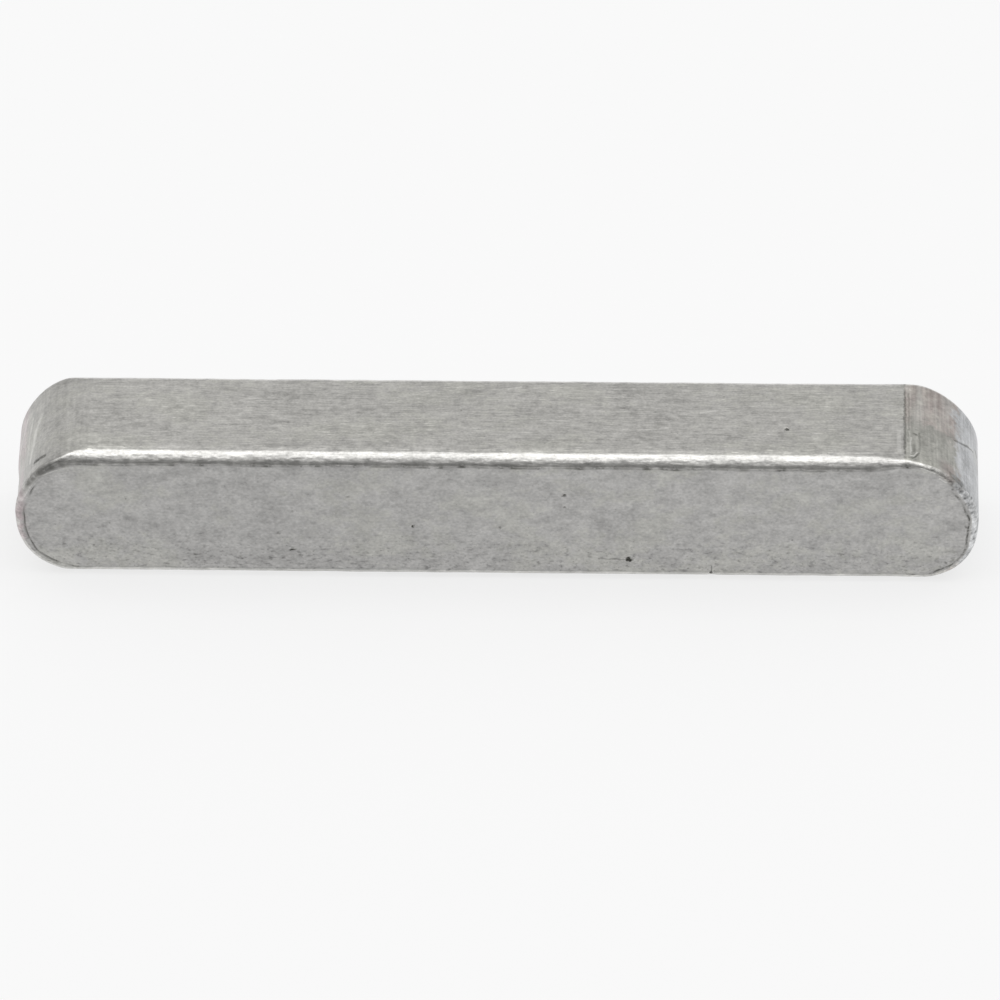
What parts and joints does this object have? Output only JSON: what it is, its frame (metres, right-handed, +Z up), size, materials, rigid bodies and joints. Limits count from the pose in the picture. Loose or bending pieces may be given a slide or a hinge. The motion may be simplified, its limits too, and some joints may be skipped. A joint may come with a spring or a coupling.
{
  "type": "parallel key",
  "caption": "Round-ended parallel key of bright-drawn steel, laid on one flank, that locks a hub to a shaft so that they turn together.",
  "frame": {"origin": "middle of the lower flank, which the key lies on", "axes": "+X along the key's length, +Y across its height between the two long-round faces, +Z up across its width, from the lower flank to the upper one"},
  "size_m": [0.05, 0.007, 0.008],
  "materials": {
    "drawn_steel": "bright-drawn, dulled by tumbling, fine lines along the flanks"
  },
  "bodies": {
    "root": {"parallel_key": "drawn_steel"}
  },
  "joints": []
}
